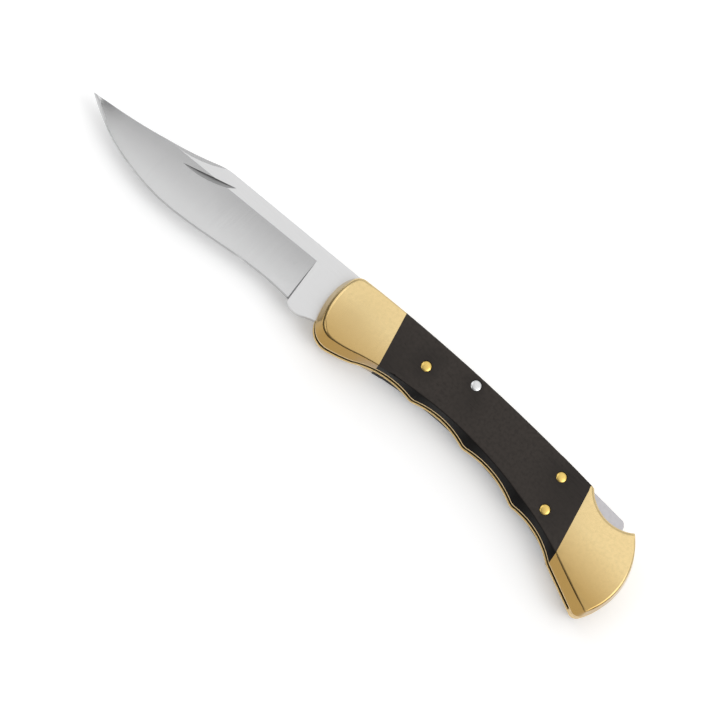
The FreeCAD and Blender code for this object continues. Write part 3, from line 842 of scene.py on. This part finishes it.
class KNIFE_OT_blade(bpy.types.Operator):
    """Finish the blade: flats, hollow grind, honed edge and nail nick"""
    bl_idname = "knife.blade"
    bl_label = "Blade"

    def execute(self, context):
        steel = context.scene.knife_colours.steel
        flats = kept("blade_flat_steel", metal, steel, FLAT_GRIND)
        hollow = kept("blade_hollow_steel", metal, steel, HOLLOW_GRIND)
        # painted glint: the honed edge's steel is lighter than the blade's
        honed = kept("blade_honed_steel", metal, shaded(steel, HONED_PAINTED_GLINT)[:3], HONED_GRIND)
        # painted shade: the steel of the nick and the plunge is darkened
        nick = kept("blade_nick_steel", metal, shaded(steel, NICK_PAINTED_SHADE)[:3], NICK_GRIND)
        shape = read_node("blade")
        for face in shape.faces:
            face.material_index = blade_finish(face)
        for face in nick_faces(shape):
            face.material_index = NICK
        smoothed(shape)
        for edge in shape.edges:
            if len({face.material_index for face in edge.link_faces}) > 1:
                edge.smooth = False
        stand_for("blade", shape, flats, hollow, honed, nick)
        return {"FINISHED"}


class KNIFE_OT_lock(bpy.types.Operator):
    """Finish the lock bar and the leaf spring"""
    bl_idname = "knife.lock"
    bl_label = "Lock Bar and Spring"

    def execute(self, context):
        steel = kept("satin_bar_steel", metal, context.scene.knife_colours.bar, SATIN_BAR)
        shape = read_node("lock_bar")
        eased(shape, face_edges(shape), context.scene.knife_shape.bar_ease)
        smoothed(shape)
        even_shading(stand_for("lock_bar", shape, steel))
        leaf = read_node("leaf_spring")
        smoothed(leaf)
        spring = stand_for("leaf_spring", leaf, steel, rides=False)
        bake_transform(spring)
        return {"FINISHED"}


def domed_pin(node, settings, material):
    """Pin with its outer ends peened to low domes that stand level with the crowned face."""
    shape = read_node(node)
    low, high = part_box(node)
    middle = (low + high) / 2
    radius = (high.x - low.x) / 2
    for end in [face for face in shape.faces if is_outer(face)]:
        for _ in range(DOME_RINGS):
            bmesh.ops.inset_region(shape, faces=[end], thickness=radius / (DOME_RINGS + 1))
    for vert in shape.verts:
        out = vert.co.z - MID_Z
        if abs(out) > OUTER_REACH:
            reach = (vert.co.xy - middle.xy).length / radius
            rim = max(0.0, reach - DOME_EDGE) / (1 - DOME_EDGE)
            crown = crown_drop(vert.co.x, vert.co.y, settings.crown)
            fall = settings.dome * reach ** 2 + DOME_FALL * rim + crown
            vert.co.z -= math.copysign(fall, out)
    shape.normal_update()
    smoothed(shape)
    return stand_for(node, shape, material)


def flush_pin(node, settings, material):
    """Pin ground flush with the crowned face."""
    shape = read_node(node)
    cut_grid(shape, *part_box(node))
    crowned(shape, settings.crown)
    smoothed(shape)
    return stand_for(node, shape, material)


class KNIFE_OT_rivets(bpy.types.Operator):
    """Finish the rivets and pins whose ends show"""
    bl_idname = "knife.rivets"
    bl_label = "Rivets and Pins"

    def execute(self, context):
        colours = context.scene.knife_colours
        settings = context.scene.knife_shape
        brass = kept("yellow_brass", metal, colours.rivet, PIN_END)
        steel = kept("bright_pin_steel", metal, colours.steel, PIN_END)
        for side in SIDES:
            for rivet in RIVETS:
                domed_pin(f"{rivet}_{side}", settings, brass)
        domed_pin("lock_bar_pin", settings, steel)
        flush_pin("blade_pivot_pin", settings, polished_brass(context))
        return {"FINISHED"}


def floor_material(colour):
    """Plain pale floor that keeps the knife's shadow and turns white where nothing shades it."""
    material, tree, shader, place = new_material("studio_floor")
    noise = node_of(tree, "ShaderNodeTexNoise", {"Vector": place, "Scale": 6.0})
    path = node_of(tree, "ShaderNodeLightPath").outputs
    seen = calculated(tree, "MAXIMUM", path["Is Camera Ray"], path["Is Glossy Ray"])
    shown = calculated(tree, "MAXIMUM", seen, path["Is Transmission Ray"])
    feed(tree, shader, {
        "Base Color": mixed(tree, noise.outputs["Fac"], shaded(colour, 0.99), shaded(colour, 1.01)),
        "Roughness": 0.9,
        "Specular IOR Level": 0.0,
        "Emission Color": (1, 1, 1, 1),
        "Emission Strength": calculated(tree, "MULTIPLY", shown, FLOOR_GLOW)})
    return material


def sky():
    """World of a wide soft light overhead, brighter towards the spine and the butt, in a darker room."""
    world = bpy.data.worlds.new("studio")
    world.use_nodes = True
    tree = world.node_tree
    direction = node_of(tree, "ShaderNodeTexCoord").outputs["Generated"]
    place = node_of(tree, "ShaderNodeSeparateXYZ", {"Vector": direction}).outputs
    towards = vector_calculated(tree, "DOT_PRODUCT", direction, SKY_SIDE)
    sky_level = remapped(tree, towards.outputs["Value"], *SKY_TURN, SKY_LOW, SKY_HIGH)
    room_level = remapped(tree, place["Y"], *ROOM_TURN, ROOM_BELLY, ROOM_SPINE)
    level = remapped(tree, place["Z"], *SKY_RISE, room_level, sky_level)
    feed(tree, tree.nodes["Background"], {"Color": (1, 1, 1, 1), "Strength": level})
    bpy.context.scene.world = world


def soft_light(name, size, power, turn, lean):
    """Area light that looks at the origin, leaning from the zenith to a side turned from the spine's."""
    lamp = bpy.data.lights.new(name, "AREA")
    lamp.shape = "RECTANGLE"
    lamp.size, lamp.size_y = size
    lamp.energy = power
    light = bpy.data.objects.new(name, lamp)
    light.matrix_world = (Matrix.Rotation(turn, 4, "Z") @ Matrix.Rotation(-lean, 4, "X")
                          @ Matrix.Translation((0, 0, BOX_DISTANCE)))
    bpy.context.scene.collection.objects.link(light)


def camera(stage):
    """Camera over the knife, leaning towards the belly, with the knife's length slanting down."""
    across = Vector((1, 0, 0))
    upward = Vector((0, math.cos(stage.tilt), math.sin(stage.tilt)))
    back = Vector((0, -math.sin(stage.tilt), math.cos(stage.tilt)))
    right = across * math.cos(stage.turn) + upward * math.sin(stage.turn)
    up = upward * math.cos(stage.turn) - across * math.sin(stage.turn)
    aim = Vector((AIM_X, AIM_Y, CAD_HIGH.z))
    lens = bpy.data.cameras.new("camera")
    lens.lens = lens.sensor_width * stage.distance / stage.width
    lens.clip_start = CLIP_START
    eye = bpy.data.objects.new("camera", lens)
    turned = Matrix((right, up, back)).transposed().to_4x4()
    eye.matrix_world = Matrix.Translation(aim + back * stage.distance) @ turned
    bpy.context.scene.collection.objects.link(eye)
    bpy.context.scene.camera = eye


class KNIFE_OT_stage(bpy.types.Operator):
    """Set the floor, the studio light and the camera"""
    bl_idname = "knife.stage"
    bl_label = "Stage"

    def execute(self, context):
        stage = context.scene.knife_stage
        ground = bmesh.new()
        bmesh.ops.create_grid(ground, x_segments=1, y_segments=1, size=FLOOR_REACH)
        bmesh.ops.translate(ground, verts=ground.verts, vec=(0, 0, CAD_LOW.z))
        mesh = bpy.data.meshes.new("floor")
        ground.to_mesh(mesh)
        ground.free()
        mesh.materials.append(floor_material(stage.floor))
        floor = bpy.data.objects.new("floor", mesh)
        context.scene.collection.objects.link(floor)
        sky()
        soft_light("softbox_tip", BOX_SIZE, stage.softbox * TIP_BOX_SHARE, BOX_TURN, BOX_LEAN)
        soft_light("softbox_butt", BOX_SIZE, stage.softbox * (2 - TIP_BOX_SHARE), -BOX_TURN, BOX_LEAN)
        soft_light("card", CARD_SIZE, stage.card, CARD_TURN, CARD_LEAN)
        camera(stage)
        context.scene.view_settings.view_transform = "Standard"
        return {"FINISHED"}


PIECE_OPERATORS = (
    KNIFE_OT_blade, KNIFE_OT_bolsters, KNIFE_OT_scales, KNIFE_OT_liners, KNIFE_OT_lock, KNIFE_OT_rivets,
    KNIFE_OT_stage)
SETTINGS = dict(knife_shape=KnifeShape, knife_colours=KnifeColours, knife_stage=KnifeStage)


class KNIFE_PT_finish(bpy.types.Panel):
    """Settings and steps of the knife's finish"""
    bl_idname = "KNIFE_PT_finish"
    bl_label = "Folding Knife"
    bl_space_type = "VIEW_3D"
    bl_region_type = "UI"
    bl_category = "Knife"

    def draw(self, context):
        for name, group in SETTINGS.items():
            box = self.layout.box()
            for key in group.__annotations__:
                box.prop(getattr(context.scene, name), key)
        for operator in PIECE_OPERATORS:
            self.layout.operator(operator.bl_idname)


CLASSES = tuple(SETTINGS.values()) + PIECE_OPERATORS + (KNIFE_PT_finish,)


def register():
    for made in CLASSES:
        bpy.utils.register_class(made)
    for name, group in SETTINGS.items():
        setattr(bpy.types.Scene, name, PointerProperty(type=group))


def unregister():
    for name in SETTINGS:
        delattr(bpy.types.Scene, name)
    for made in reversed(CLASSES):
        bpy.utils.unregister_class(made)


def main():
    register()
    for operator in PIECE_OPERATORS:
        area, step = operator.bl_idname.split(".")
        getattr(getattr(bpy.ops, area), step)()


if __name__ == "__main__":
    main()
